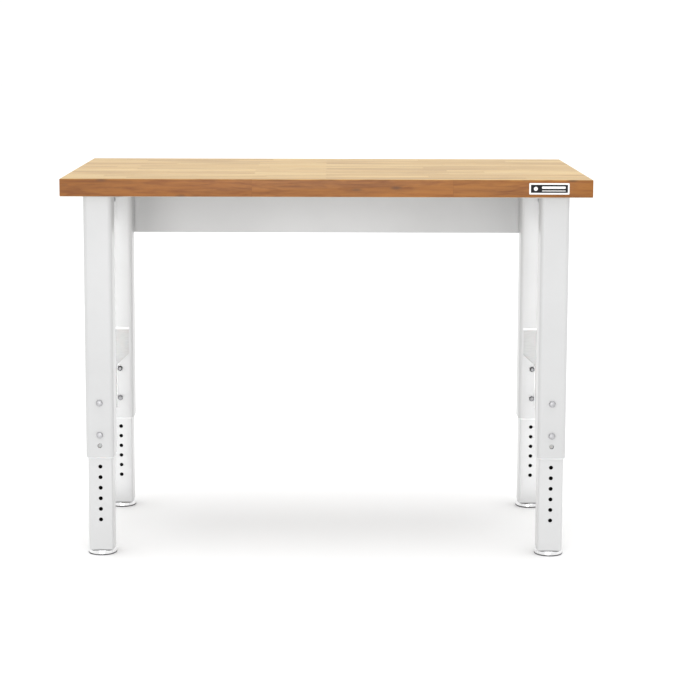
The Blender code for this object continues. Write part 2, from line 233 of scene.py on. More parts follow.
def bump(tree, shader, height, strength, distance):
    """Surface relief from a height socket."""
    made = node(tree, "ShaderNodeBump", Strength=strength, Distance=distance)
    link(tree, height, made.inputs["Height"])
    link(tree, made.outputs["Normal"], shader.inputs["Normal"])


# ------------------------------------------------------------------- materials


def powder_coat(name, colour, roughness):
    """Stoved powder paint: fine orange peel, faint mottling and a slight speckle."""
    mat, tree, shader = new_material(name)
    place = object_coordinates(tree)
    broad = noise(tree, place, 6.0, 3.0)
    peel = noise(tree, place, 520.0, 3.0, 0.6)
    grit = noise(tree, place, 2600.0, 2.0, 0.7)
    dark = tuple(0.955 * c for c in colour)
    shade = mix(tree, "MIX", remap(tree, broad, 0.0, 1.0, 0.3, 0.7), dark, colour)
    speck = remap(tree, grit, 0.965, 1.0, 0.30, 0.42)
    link(tree, mix(tree, "MULTIPLY", 1.0, shade, speck), shader.inputs["Base Color"])
    link(tree, remap(tree, broad, roughness - 0.05, roughness + 0.07), shader.inputs["Roughness"])
    bump(tree, shader, peel, 0.10, 0.0004)
    shader.inputs["Coat Weight"].default_value = 0.25
    shader.inputs["Coat Roughness"].default_value = 0.12
    return mat


def bare_steel_and_painted_shade():
    """Unpainted inside of the tubes: mill scale with a rusty cast, darkened to near black as painted
    shade inside the tubes.
    """
    mat, tree, shader = new_material("bare_steel_and_painted_shade")
    place = object_coordinates(tree)
    scale = noise(tree, place, 60.0, 5.0, 0.65)
    link(tree, ramp(tree, scale, ((0.3, (0.006, 0.006, 0.007)), (0.75, (0.020, 0.017, 0.015)))),
         shader.inputs["Base Color"])
    shader.inputs["Metallic"].default_value = 0.35
    shader.inputs["Roughness"].default_value = 0.75
    bump(tree, shader, scale, 0.3, 0.0006)
    return mat


def nylon(name, dull, pale):
    """Moulded white nylon: waxy, with fine flow lines."""
    mat, tree, shader = new_material(name)
    place = object_coordinates(tree)
    flow = noise(tree, object_coordinates(tree, (1.0, 1.0, 6.0)), 60.0, 4.0)
    grain = noise(tree, place, 1400.0, 2.0)
    link(tree, ramp(tree, flow, ((0.3, dull), (0.7, pale))), shader.inputs["Base Color"])
    link(tree, remap(tree, flow, 0.34, 0.48), shader.inputs["Roughness"])
    shader.inputs["Subsurface Weight"].default_value = 0.08
    shader.inputs["Subsurface Scale"].default_value = 0.004
    bump(tree, shader, grain, 0.12, 0.0003)
    return mat


def plated(name, light, dark, roughness, spots=0.35):
    """Bright zinc or nickel plate with faint spangle, fingerprints and fine scratches."""
    mat, tree, shader = new_material(name)
    place = object_coordinates(tree)
    cells = node(tree, "ShaderNodeTexVoronoi", Scale=420.0)
    link(tree, place, cells.inputs["Vector"])
    smear = noise(tree, place, 90.0, 4.0)
    scratch = noise(tree, object_coordinates(tree, (1.0, 9.0, 1.0)), 700.0, 3.0)
    tone = mix(tree, "MIX", spots, smear, cells.outputs["Distance"])
    link(tree, ramp(tree, tone, ((0.25, dark), (0.65, light))), shader.inputs["Base Color"])
    link(tree, remap(tree, smear, roughness * 0.7, roughness * 1.5), shader.inputs["Roughness"])
    shader.inputs["Metallic"].default_value = 1.0
    bump(tree, shader, scratch, 0.08, 0.0002)
    return mat


def enamel(name, colour, roughness):
    """Even colour of enamel or rubber, with fine speckle."""
    mat, tree, shader = new_material(name)
    place = object_coordinates(tree)
    speck = noise(tree, place, 1800.0, 3.0)
    pale = tuple(min(1.0, 1.25 * c + 0.004) for c in colour)
    link(tree, mix(tree, "MIX", remap(tree, speck, 0.0, 1.0, 0.35, 0.65), colour, pale),
         shader.inputs["Base Color"])
    link(tree, remap(tree, speck, roughness - 0.06, roughness + 0.08), shader.inputs["Roughness"])
    shader.inputs["Specular IOR Level"].default_value = 0.2
    bump(tree, shader, speck, 0.05, 0.0002)
    return mat


def hardwood():
    """Oiled hardwood glued up from long staves.

    A brick pattern in plan gives each stave its own tone and its own slice of grain. The grain
    is noise drawn out along the bench, with growth rings, pores and a few small knots.
    """
    mat, tree, shader = new_material("hardwood")
    metres = object_coordinates(tree)
    split = node(tree, "ShaderNodeSeparateXYZ")
    link(tree, metres, split.inputs["Vector"])
    plan = node(tree, "ShaderNodeCombineXYZ")
    link(tree, split.outputs["X"], plan.inputs["X"])
    link(tree, split.outputs["Y"], plan.inputs["Y"])
    staves = node(tree, "ShaderNodeTexBrick", Scale=1.0, Mortar_Size=0.00035, Mortar_Smooth=0.6,
                  Brick_Width=STAVE_LENGTH, Row_Height=STAVE_WIDTH, offset=0.37,
                  offset_frequency=2, squash=0.82, squash_frequency=3)
    staves.inputs["Color1"].default_value = (0.0, 0.0, 0.0, 1.0)
    staves.inputs["Color2"].default_value = (1.0, 1.0, 1.0, 1.0)
    staves.inputs["Mortar"].default_value = (0.5, 0.5, 0.5, 1.0)
    link(tree, plan.outputs["Vector"], staves.inputs["Vector"])
    own = node(tree, "ShaderNodeRGBToBW")
    link(tree, staves.outputs["Color"], own.inputs["Color"])
    own = own.outputs["Val"]
    joint = staves.outputs["Fac"]

    # Each stave reads a different part of the noise.
    shift = node(tree, "ShaderNodeCombineXYZ")
    link(tree, maths(tree, "MULTIPLY", own, 7.3), shift.inputs["X"])
    link(tree, maths(tree, "MULTIPLY", own, 3.1), shift.inputs["Y"])
    link(tree, maths(tree, "MULTIPLY", own, 5.7), shift.inputs["Z"])
    moved = node(tree, "ShaderNodeVectorMath", operation="ADD")
    link(tree, metres, moved.inputs[0])
    link(tree, shift.outputs["Vector"], moved.inputs[1])

    def drawn_out(scale):
        stretch = node(tree, "ShaderNodeMapping")
        stretch.inputs["Scale"].default_value = scale
        link(tree, moved.outputs["Vector"], stretch.inputs["Vector"])
        return stretch.outputs["Vector"]

    figure = noise(tree, drawn_out((2.2, 16.0, 16.0)), 1.0, 4.0, 0.55, 0.9)
    rings = node(tree, "ShaderNodeTexWave", wave_type="BANDS", bands_direction="DIAGONAL",
                 Scale=1.0, Distortion=5.0, Detail=3.0)
    link(tree, drawn_out((2.5, 42.0, 42.0)), rings.inputs["Vector"])
    streak = noise(tree, drawn_out((9.0, 330.0, 330.0)), 1.0, 5.0, 0.6)
    pores = noise(tree, drawn_out((60.0, 1500.0, 1500.0)), 1.0, 2.0, 0.5)
    knots = node(tree, "ShaderNodeTexVoronoi", Scale=1.0, Randomness=1.0)
    link(tree, drawn_out((12.0, 38.0, 38.0)), knots.inputs["Vector"])
    knot = remap(tree, knots.outputs["Distance"], 1.0, 0.0, 0.05, 0.21)
    flame = noise(tree, drawn_out((7.0, 62.0, 62.0)), 1.0, 3.0, 0.5, 2.2)

    base = ramp(tree, own, (
        (0.0, (0.478, 0.303, 0.104)), (0.25, (0.582, 0.408, 0.161)), (0.5, (0.524, 0.350, 0.129)),
        (0.75, (0.626, 0.450, 0.190)), (1.0, (0.506, 0.326, 0.116))))
    wide = ramp(tree, figure, ((0.30, (0.72, 0.64, 0.53)), (0.50, (1.0, 1.0, 1.0)),
                               (0.72, (1.10, 1.07, 1.0))))
    colour = mix(tree, "MULTIPLY", 1.0, base, wide)
    ringed = ramp(tree, rings.outputs["Fac"], ((0.0, (0.90, 0.86, 0.81)), (0.55, (1.0, 1.0, 1.0))))
    colour = mix(tree, "MULTIPLY", 0.75, colour, ringed)
    fine = ramp(tree, streak, ((0.30, (0.84, 0.80, 0.75)), (0.58, (1.0, 1.0, 1.0))))
    colour = mix(tree, "MULTIPLY", 0.8, colour, fine)
    blazed = ramp(tree, flame, ((0.34, (0.80, 0.70, 0.58)), (0.52, (1.0, 1.0, 1.0)),
                                (0.68, (1.10, 1.09, 1.06))))
    pore = remap(tree, pores, 1.0, 0.0, 0.28, 0.40)
    colour = mix(tree, "MULTIPLY", maths(tree, "MULTIPLY", pore, 0.5), colour, (0.62, 0.50, 0.40))

    # Painted shade: the upright faces are tinted redder and darker than the top, as they stand in
    # less light.
    facing = node(tree, "ShaderNodeNewGeometry")
    upright = node(tree, "ShaderNodeSeparateXYZ")
    link(tree, facing.outputs["Normal"], upright.inputs["Vector"])
    level = maths(tree, "ABSOLUTE", upright.outputs["Z"], 0.0)
    side = remap(tree, level, 1.0, 0.0, 0.35, 0.85)
    colour = mix(tree, "MULTIPLY", remap(tree, side, 0.4, 1.0), colour, blazed)
    colour = mix(tree, "MULTIPLY", side, colour, (0.49, 0.271, 0.110))
    knot = maths(tree, "MULTIPLY", knot, remap(tree, side, 0.10, 0.92))
    colour = mix(tree, "MIX", knot, colour, (0.105, 0.042, 0.015))
    # The underside is unfinished: grey and dull.
    below = remap(tree, upright.outputs["Z"], 0.85, 0.0, -0.9, -0.5)
    colour = mix(tree, "MIX", below, colour, (0.36, 0.345, 0.325))
    colour = mix(tree, "MULTIPLY", maths(tree, "MULTIPLY", joint, 0.45), colour, (0.45, 0.32, 0.22))
    link(tree, colour, shader.inputs["Base Color"])

    rough = remap(tree, streak, 0.46, 0.34)
    link(tree, rough, shader.inputs["Roughness"])
    shader.inputs["Specular IOR Level"].default_value = 0.32
    relief = maths(tree, "SUBTRACT", streak, maths(tree, "MULTIPLY", pore, 0.6))
    relief = maths(tree, "SUBTRACT", relief, maths(tree, "MULTIPLY", joint, 0.8))
    bump(tree, shader, relief, 0.22, 0.0004)
    return mat


# --------------------------------------------------------------- mesh helpers


def finished(name, mesh, materials, body, nodes):
    """A piece from a mesh, riding on a body in place of CAD nodes."""
    obj = bpy.data.objects.new(name, mesh)
    bpy.context.scene.collection.objects.link(obj)
    for mat in materials:
        mesh.materials.append(mat)
    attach(obj, body)
    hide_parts(*nodes)
    return obj


def evaluated(mesh, modify):
    """The mesh after the modifiers that `modify` adds to a temporary object."""
    obj = bpy.data.objects.new("temporary", mesh)
    bpy.context.scene.collection.objects.link(obj)
    modify(obj)
    graph = bpy.context.evaluated_depsgraph_get()
    result = bpy.data.meshes.new_from_object(obj.evaluated_get(graph))
    bpy.data.objects.remove(obj, do_unlink=True)
    return result


def boolean(mesh, tool, operation="DIFFERENCE"):
    """The mesh cut by, joined with or limited to a tool mesh."""
    holder = bpy.data.objects.new("tool", tool)
    bpy.context.scene.collection.objects.link(holder)

    def modify(obj):
        modifier = obj.modifiers.new("boolean", "BOOLEAN")
        modifier.object = holder
        modifier.operation = operation
        modifier.solver = "EXACT"

    result = evaluated(mesh, modify)
    bpy.data.objects.remove(holder, do_unlink=True)
    return result


def rounded(mesh, width=EDGE_ROUND, segments=2, angle=50, sharp=40):
    """Edges eased by a narrow bevel, then smooth shading weighted to the flat faces."""

    def modify(obj):
        bevel = obj.modifiers.new("bevel", "BEVEL")
        bevel.width = width
        bevel.segments = segments
        bevel.limit_method = "ANGLE"
        bevel.angle_limit = radians(angle)
        bevel.miter_outer = "MITER_ARC"

    mesh = evaluated(mesh, modify)
    mesh.shade_smooth()
    mesh.set_sharp_from_angle(angle=radians(sharp))

    def weigh(obj):
        weighted = obj.modifiers.new("weighted", "WEIGHTED_NORMAL")
        weighted.keep_sharp = True

    return evaluated(mesh, weigh)


def mesh_from(bm, name):
    """A finished bmesh as a mesh with its faces turned outwards."""
    bmesh.ops.recalc_face_normals(bm, faces=bm.faces)
    mesh = bpy.data.meshes.new(name)
    bm.to_mesh(mesh)
    bm.free()
    return mesh


def joined(name, meshes):
    """Several meshes in one."""
    bm = bmesh.new()
    for mesh in meshes:
        bm.from_mesh(mesh)
    return mesh_from(bm, name)


def rounded_outline(width, depth, radius, steps=CORNER_STEPS):
    """A rectangle round the origin with arcs at its corners, anticlockwise."""
    points = []
    for quarter in range(4):
        centre_x = (width / 2 - radius) * (1 if quarter in (0, 3) else -1)
        centre_y = (depth / 2 - radius) * (1 if quarter in (0, 1) else -1)
        for step in range(steps + 1):
            turn = (quarter + step / steps) * pi / 2
            points.append((centre_x + radius * cos(turn), centre_y + radius * sin(turn)))
    return points


def loft(bm, rings, close=True):
    """Quads between successive rings of equal length; with close, back to the first ring."""
    loops = [[bm.verts.new(point) for point in ring] for ring in rings]
    pairs = list(zip(loops, loops[1:] + loops[:1])) if close else list(zip(loops, loops[1:]))
    for lower, upper in pairs:
        for i in range(len(lower)):
            j = (i + 1) % len(lower)
            bm.faces.new((lower[i], lower[j], upper[j], upper[i]))
    return loops


def tube(name, centre, width, corner, wall, bottom, top):
    """Upright square tube with rounded corners, open at both ends."""
    outer = rounded_outline(width, width, corner)
    inner = rounded_outline(width - 2 * wall, width - 2 * wall, corner - wall)

    def ring(outline, z):
        return [(centre[0] + x, centre[1] + y, z) for x, y in outline]

    bm = bmesh.new()
    loft(bm, [ring(outer, bottom), ring(outer, top), ring(inner, top), ring(inner, bottom)])
    return mesh_from(bm, name)


def prism(name, outline, low, high, matrix):
    """A flat outline in local XY given a height along local Z, then placed by a matrix."""
    bm = bmesh.new()
    loops = loft(bm, [[matrix @ Vector((x, y, z)) for x, y in outline] for z in (low, high)], False)
    bm.faces.new(loops[0])
    bm.faces.new(loops[1])
    return mesh_from(bm, name)


def turned(name, profile, sides, matrix):
    """A profile of (radius, height) points turned about local Z; it starts and ends on the axis."""
    bm = bmesh.new()
    rings = []
    for radius, height in profile[1:-1]:
        rings.append([matrix @ Vector((radius * cos(2 * pi * i / sides),
                                       radius * sin(2 * pi * i / sides), height))
                      for i in range(sides)])
    loops = loft(bm, rings, False)
    for loop, (_, height) in ((loops[0], profile[0]), (loops[-1], profile[-1])):
        tip = bm.verts.new(matrix @ Vector((0, 0, height)))
        for i in range(sides):
            bm.faces.new((loop[i], loop[(i + 1) % sides], tip))
    return mesh_from(bm, name)


def polygon(radius, sides):
    """A regular polygon round the origin, its first corner at +X."""
    return [(radius * cos(2 * pi * i / sides), radius * sin(2 * pi * i / sides))
            for i in range(sides)]


def along_y(x, y, z, direction=1):
    """Local Z laid along +Y or -Y at a place."""
    return Matrix.Translation((x, y, z)) @ Matrix.Rotation(-direction * pi / 2, 4, "X")


# Local X and Y laid along X and Z, local Z along +Y.
XZ_PLANE = Matrix(((1, 0, 0, 0), (0, 0, 1, 0), (0, 1, 0, 0), (0, 0, 0, 1)))


def pegs(places, radius, start, end):
    """Round cutters along Y at (x, z) places, from y start to y end."""
    parts = [prism("peg", polygon(radius, HOLE_SIDES), 0, end - start, along_y(x, start, z))
             for x, z in places]
    return joined("pegs", parts)


def hole_height(number):
    """Height of a hole of the column, counted from 0 at the bottom."""
    return FIRST_HOLE + number * HOLE_PITCH


def line_inside(mesh, centre, width, corner):
    """The second material, near black as painted shade, on faces that lie deeper than half the wall
    inside the tube.
    """
    flat = width / 2 - corner
    for face in mesh.polygons:
        x, y = abs(face.center.x - centre[0]), abs(face.center.y - centre[1])
        if x < flat or y < flat:
            depth = width / 2 - max(x, y)
        else:
            depth = corner - Vector((x - flat, y - flat)).length
        if depth > 0.6 * WALL:
            face.material_index = 1


def painted_shadow_hole_edge(mesh, place, face_y):
    """The second, near-black material on the edge of the round hole at (x, z) in the outer face: a
    painted shadow ring.
    """
    reach = HEIGHT_HOLE_RADIUS + SPARE_EDGE + 0.0001
    for face in mesh.polygons:
        from_axis = Vector((face.center.x - place[0], face.center.z - place[1])).length
        if from_axis < reach and 0.00005 < abs(face.center.y - face_y) < WALL:
            face.material_index = 1


# -------------------------------------------------------------------- pieces


def middle(node_name):
    """Centre of a CAD node's box."""
    low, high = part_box(node_name)
    return [(a + b) / 2 for a, b in zip(low, high)]


def worktop(wood):
    """The board, with eased edges and the shallow pocket that holds the name plate."""
    low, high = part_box("worktop")
    size = [b - a for a, b in zip(low, high)]
    bm = bmesh.new()
    matrix = Matrix.Translation(middle("worktop")) @ Matrix.Diagonal((*size, 1.0))
    bmesh.ops.create_cube(bm, size=1.0, matrix=matrix)
    mesh = rounded(mesh_from(bm, "worktop"), BOARD_EDGE, 4, 30, 60)
    plate_low, plate_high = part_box("badge")
    outline = rounded_outline(plate_high[0] - plate_low[0] + 2 * PLATE_MARGIN,
                              plate_high[2] - plate_low[2] + 2 * PLATE_MARGIN,
                              PLATE_CORNER + PLATE_MARGIN / 2)
    place = Matrix.Translation(middle("badge")) @ Matrix.Rotation(pi / 2, 4, "X")
    pocket = prism("pocket", outline, -0.0008, 0.01, place)
    mesh = boolean(mesh, pocket)
    finished("worktop_board", mesh, [wood], "bench", ["worktop"])


def name_plate(border, field):
    """Pale-edged dark plate with plain relief: a dot and two bars, no lettering."""
    low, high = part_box("badge")
    x, _, z = middle("badge")
    width, height = high[0] - low[0], high[2] - low[2]
    back = Matrix.Translation((x, high[1], z)) @ Matrix.Rotation(pi / 2, 4, "X")
    thick = high[1] - low[1]
    plate = prism("plate", rounded_outline(width, height, PLATE_CORNER), 0.0, thick - 0.0003, back)
    finished("badge_plate", rounded(plate, 0.0001, 2), [border], "bench", ["badge"])
    inset = rounded_outline(width - 2 * PLATE_BORDER, height - 2 * PLATE_BORDER, PLATE_CORNER / 2)
    dark = prism("field", inset, thick - 0.0004, thick - 0.0001, back)
    finished("badge_field", rounded(dark, 0.00005, 1), [field], "bench", ["badge"])
    marks = [prism("dot", polygon(DOT_RADIUS, 32), 0, 0.0002, Matrix.Translation((DOT_X, 0, 0)))]
    for offset, tall in BARS:
        bar = rounded_outline(BAR_LENGTH, tall, tall * 0.3, 3)
        marks.append(prism("bar", bar, 0, 0.0002, Matrix.Translation((BAR_X, offset, 0))))
    relief = joined("marks", marks)
    relief.transform(back @ Matrix.Translation((0, 0, thick - 0.0002)))
    finished("badge_relief", relief, [border], "bench", ["badge"])


def centre_side(x):
    """+1 or -1: the way along X from a leg to the middle of the bench."""
    return 1 if x < 0 else -1


def sill_line():
    """The sill's edge in (x, z): up the slot, round its bend and out to the high end at +X."""
    bend_corner = (SLOT_EDGE, SLOT_TOP + 0.75 * (SILL_LOW - SLOT_TOP))
    points = [(SLOT_EDGE, SLOT_BOTTOM + SLOT_CORNER)]
    for step in range(BEND_STEPS + 1):
        t = step / BEND_STEPS
        weights = ((1 - t) ** 2, 2 * t * (1 - t), t ** 2)
        ends = ((SLOT_EDGE, SLOT_TOP), bend_corner, (0.0, SILL_LOW))
        points.append(tuple(sum(w * end[axis] for w, end in zip(weights, ends))
                            for axis in (0, 1)))
    return points + [(WINDOW_HALF, SILL_HIGH)]


def window_outline():
    """The window's outline in (x, z): level head, then down the slot and back up the sill."""
    corner = SLOT_CORNER
    return [(WINDOW_HALF, WINDOW_TOP), (-WINDOW_HALF, WINDOW_TOP),
            (-WINDOW_HALF, SLOT_BOTTOM + corner), (-WINDOW_HALF + corner, SLOT_BOTTOM),
            (SLOT_EDGE - corner, SLOT_BOTTOM), *sill_line()]


def lip_bead(name, points, sides=12):
    """A round bead along an open line in a plane of constant Y, fading out at its last point."""
    bm = bmesh.new()
    rings = []
    last = len(points) - 1
    for i, point in enumerate(points):
        ahead = Vector(points[min(i + 1, last)]) - Vector(points[max(i - 1, 0)])
        across = ahead.cross(Vector((0, 1, 0))).normalized()
        radius = LIP_RADIUS * (1 - 0.8 * (i / last) ** 3)
        rings.append([Vector(point) + radius * (cos(2 * pi * k / sides) * across
                                                + sin(2 * pi * k / sides) * Vector((0, 1, 0)))
                      for k in range(sides)])
    loops = loft(bm, rings, False)
    bm.faces.new(loops[0])
    bm.faces.new(loops[-1])
    return mesh_from(bm, name)


def upper_leg(leg, paint, dark_steel_and_shade, highlight_trim_paint):
    """Outer tube with its bolt holes, spare hole and window, and the window's hem and lip."""
    node_name = leg + "_upper_leg"
    low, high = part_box(node_name)
    x, y, _ = middle(node_name)
    width = high[0] - low[0]
    out = -1 if leg.startswith("front") else 1
    mesh = tube(node_name, (x, y), width, OUTER_CORNER, WALL, low[2], high[2])
    holes = [(x, hole_height(n)) for n in BOLT_HOLES]
    cut = [pegs(holes, HEIGHT_HOLE_RADIUS, low[1] - OVERCUT, high[1] + OVERCUT)]
    face = y + out * width / 2
    span = sorted((y, face + out * OVERCUT))
    wide, step = HEIGHT_HOLE_RADIUS + SPARE_EDGE, width / 2 - SPARE_EDGE
    drill = [(0, 0), (HEIGHT_HOLE_RADIUS, 0), (HEIGHT_HOLE_RADIUS, step),
             (wide, width / 2), (wide, width / 2 + OVERCUT), (0, width / 2 + OVERCUT)]
    spare_place = along_y(x, y, hole_height(SPARE_HOLE), out)
    cut.append(turned("drill", drill, HOLE_SIDES, spare_place))
    if out > 0:
        bolts = [middle(f"apron_bolt_{leg[5:]}_{level}")[2] for level in ("low", "high")]
        cut.append(pegs([(x, z) for z in bolts], FRAME_HOLE_RADIUS, *span))
    inward = y - out * width / 2
    span = sorted((y, inward - out * OVERCUT))
    end = "front" if out < 0 else "rear"
    bolt_x, _, bolt_z = middle(f"rail_bolt_{'left' if x < 0 else 'right'}_{end}")
    cut.append(pegs([(bolt_x, bolt_z)], FRAME_HOLE_RADIUS, *span))
    outline = [(x + px * centre_side(x), pz) for px, pz in window_outline()]
    cut.append(prism("window", outline, span[0], span[1], XZ_PLANE))
    for tool in cut:
        mesh = boolean(mesh, tool)
    mesh = rounded(mesh, 0.0002)
    line_inside(mesh, (x, y), width, OUTER_CORNER)
    painted_shadow_hole_edge(mesh, (x, hole_height(SPARE_HOLE)), face)
    finished(leg + "_outer_tube", mesh, [paint, dark_steel_and_shade], "bench", [node_name])
    window_trim_painted_highlight(leg, x, inward, out, highlight_trim_paint)


def window_trim_painted_highlight(leg, x, inward, out, highlight_trim_paint):
    """Hem over the window's head and lip along its sill, on the face at y = inward; their paler paint
    is a painted highlight.
    """
    rim = [(x + px * centre_side(x), inward - out * 0.0004, pz) for px, pz in sill_line()]
    hem = rounded_outline(2 * (WINDOW_HALF + HEM_OVERLAP), HEM_HEIGHT, 0.0015, 4)
    hem_place = XZ_PLANE @ Matrix.Translation((x, WINDOW_TOP + HEM_HEIGHT / 2, 0))
    hem_span = sorted((inward + out * 0.001, inward - out * HEM_PROUD))
    strip = rounded(prism("hem", hem, hem_span[0], hem_span[1], hem_place), 0.0005, 3)
    lip = lip_bead("lip", rim)
    lip.shade_smooth()
    finished(leg + "_window_trim_painted_highlight", joined_keeping(strip, [lip]), [highlight_trim_paint], "bench",
             [leg + "_upper_leg"])


def joined_keeping(mesh, extras):
    """Joins extra meshes onto one whose face materials and normals stay as they are."""
    objects = []
    for part in [mesh, *extras]:
        obj = bpy.data.objects.new("part", part)
        bpy.context.scene.collection.objects.link(obj)
        objects.append(obj)
    with bpy.context.temp_override(active_object=objects[0], selected_editable_objects=objects):
        bpy.ops.object.join()
    whole = objects[0].data
    bpy.data.objects.remove(objects[0], do_unlink=True)
    return whole


def lower_leg(leg, paint, dark_steel_and_shade):
    """Inner tube with its column of height holes."""
    node_name = leg + "_lower_leg"
    low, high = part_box(node_name)
    x, y, _ = middle(node_name)
    width = high[0] - low[0]
    mesh = tube(node_name, (x, y), width, INNER_CORNER, WALL, low[2], high[2])
    places = [(x, hole_height(n)) for n in range(HOLE_COUNT)]
    mesh = boolean(mesh, pegs(places, HEIGHT_HOLE_RADIUS, low[1] - OVERCUT, high[1] + OVERCUT))
    mesh = rounded(mesh)
    line_inside(mesh, (x, y), width, INNER_CORNER)
    finished(leg + "_inner_tube", mesh, [paint, dark_steel_and_shade], leg + "_inner_leg", [node_name])


def glide_sleeve(leg, plastic, collar):
    """Thin liner between the tubes, holed only for the two bolts, and its end collar, whose paler
    nylon is painted light.
    """
    node_name = leg + "_glide_sleeve"
    low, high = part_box(node_name)
    x, y, _ = middle(node_name)
    width = high[0] - low[0]
    inner_low, inner_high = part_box(leg + "_lower_leg")
    wall = (width - (inner_high[0] - inner_low[0])) / 2 - 0.0004
    split = low[2] + COLLAR_HEIGHT
    rim = tube(node_name + "_rim", (x, y), width, SLEEVE_CORNER, wall, low[2], split)
    finished(leg + "_liner_collar", rounded(rim, 0.0002), [collar], "bench", [node_name])
    mesh = tube(node_name, (x, y), width, SLEEVE_CORNER, wall, split, high[2])
    places = [(x, hole_height(n)) for n in BOLT_HOLES]
    mesh = boolean(mesh, pegs(places, HEIGHT_HOLE_RADIUS, low[1] - OVERCUT, high[1] + OVERCUT))
    finished(leg + "_liner", rounded(mesh, 0.0002), [plastic], "bench", [node_name])


def threaded(radius, start, end, pitch=0.00125, depth=0.0004):
    """Profile points of a ridged thread, up local Z."""
    points, z = [], start
    while z + pitch < end:
        points += [(radius, z), (radius - depth, z + pitch / 2)]
        z += pitch
    return points + [(radius, z), (radius, end - depth * 1.6), (radius - depth * 1.6, end)]


def hexagon_head(name, radius, low, high, matrix, dome):
    """Hexagon with its corners turned back on the outer end, round a raised crown."""
    flat = radius * cos(pi / 6)
    ease = radius - flat
    blank = prism(name, polygon(radius, 6), low, high, matrix)
    profile = [(0, low), (flat * 0.6, low), (flat * 0.92, low + dome),
               (radius * 1.01, low + ease * 0.9), (radius * 1.01, high + 0.001),
               (0, high + 0.001)]
    mesh = boolean(blank, turned("ease", profile, 48, matrix), "INTERSECT")
    return rounded(mesh, 0.00025, 2, 40)


def bolt(name, node_name, direction, mat):
    """Flanged hexagon bolt along +Y or -Y: head outside its seat, threaded shank through it."""
    low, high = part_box(node_name)
    x, _, z = middle(node_name)
    seat = (x, low[1] + HEAD_HEIGHT if direction > 0 else high[1] - HEAD_HEIGHT, z)
    length = high[1] - low[1] - HEAD_HEIGHT
    matrix = along_y(*seat, direction)
    head = hexagon_head(name, HEAD_RADIUS, -HEAD_HEIGHT, -FLANGE_HEIGHT + 0.0002, matrix, 0.0006)
    skirt = [(0, -FLANGE_HEIGHT - 0.0004), (HEAD_RADIUS * 0.9, -FLANGE_HEIGHT - 0.0004),
             (FLANGE_RADIUS * 0.86, -FLANGE_HEIGHT * 0.75), (FLANGE_RADIUS, -FLANGE_HEIGHT * 0.3),
             (FLANGE_RADIUS, 0), (0, 0)]
    shank = [(0, -0.0005), (SHANK_RADIUS, -0.0005),
             *threaded(SHANK_RADIUS, length * 0.55, length), (0, length)]
    extras = [turned(name, skirt, 40, matrix), turned(name, shank, 24, matrix)]
    for part in extras:
        part.shade_smooth()
        part.set_sharp_from_angle(angle=radians(35))
    finished(name, joined_keeping(head, extras), [mat], "bench", [node_name])


def nut(name, node_name, mat):
    """Hexagon nut with both faces turned back, open round the bolt."""
    low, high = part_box(node_name)
    x, _, z = middle(node_name)
    radius = (high[2] - low[2]) / 2
    matrix = Matrix.Translation((x, low[1], z)) @ Matrix.Rotation(-pi / 2, 4, "X")
    matrix = matrix @ Matrix.Rotation(pi / 2, 4, "Z")
    thick = high[1] - low[1]
    ease = radius * (1 - cos(pi / 6))
    blank = prism(name, polygon(radius, 6), 0, thick, matrix)
    both = [(0, 0), (radius * 0.88, 0), (radius * 1.01, ease), (radius * 1.01, thick - ease),
            (radius * 0.88, thick), (0, thick)]
    mesh = boolean(blank, turned("ease", both, 48, matrix), "INTERSECT")
    bore = prism("bore", polygon(NUT_BORE, 24), -0.001, thick + 0.001, matrix)
    finished(name, rounded(boolean(mesh, bore), 0.0002), [mat], "bench", [node_name])


def leg_fasteners(leg, zinc, dark):
    """The two bolts through a leg, put in from its outward face, and their nuts."""
    inward = 1 if leg.startswith("front") else -1
    for label in ("lower", "upper"):
        bolt(f"{leg}_leg_bolt_{label}", f"{leg}_bolt_{label}", inward, zinc)
        nut(f"{leg}_leg_nut_{label}", f"{leg}_nut_{label}", dark)


def frame_fasteners(zinc):
    """The bolts of the apron and the side rails, and the screws into the top."""
    names = [f"apron_bolt_{side}_{level}" for side in ("left", "right") for level in ("low", "high")]
    names += [f"rail_bolt_{side}_{end}" for side in ("left", "right") for end in ("front", "rear")]
    for node_name in names:
        bolt(node_name + "_hex", node_name, 1 if node_name.endswith("rear") else -1, zinc)
    for index in range(1, 7):
        wood_screw(index, zinc)


def wood_screw(index, zinc):
    """Hexagon-headed wood screw driven up into the top."""
    node_name = f"wood_screw_{index}"
    low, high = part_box(node_name)
    x, y, _ = middle(node_name)
    matrix = Matrix.Translation((x, y, low[2]))
    head = hexagon_head(node_name, SCREW_HEAD_RADIUS, 0.0, SCREW_HEAD_HEIGHT, matrix, 0.0005)
    length = high[2] - low[2]
    shank = [(0, 0.003), (SCREW_RADIUS, 0.003),
             *threaded(SCREW_RADIUS, 0.012, length, 0.0022, 0.0007), (0, length)]
    body = turned(node_name, shank, 20, matrix)
    finished(f"worktop_screw_{index}", joined_keeping(head, [body]), [zinc], "bench",
             [node_name])


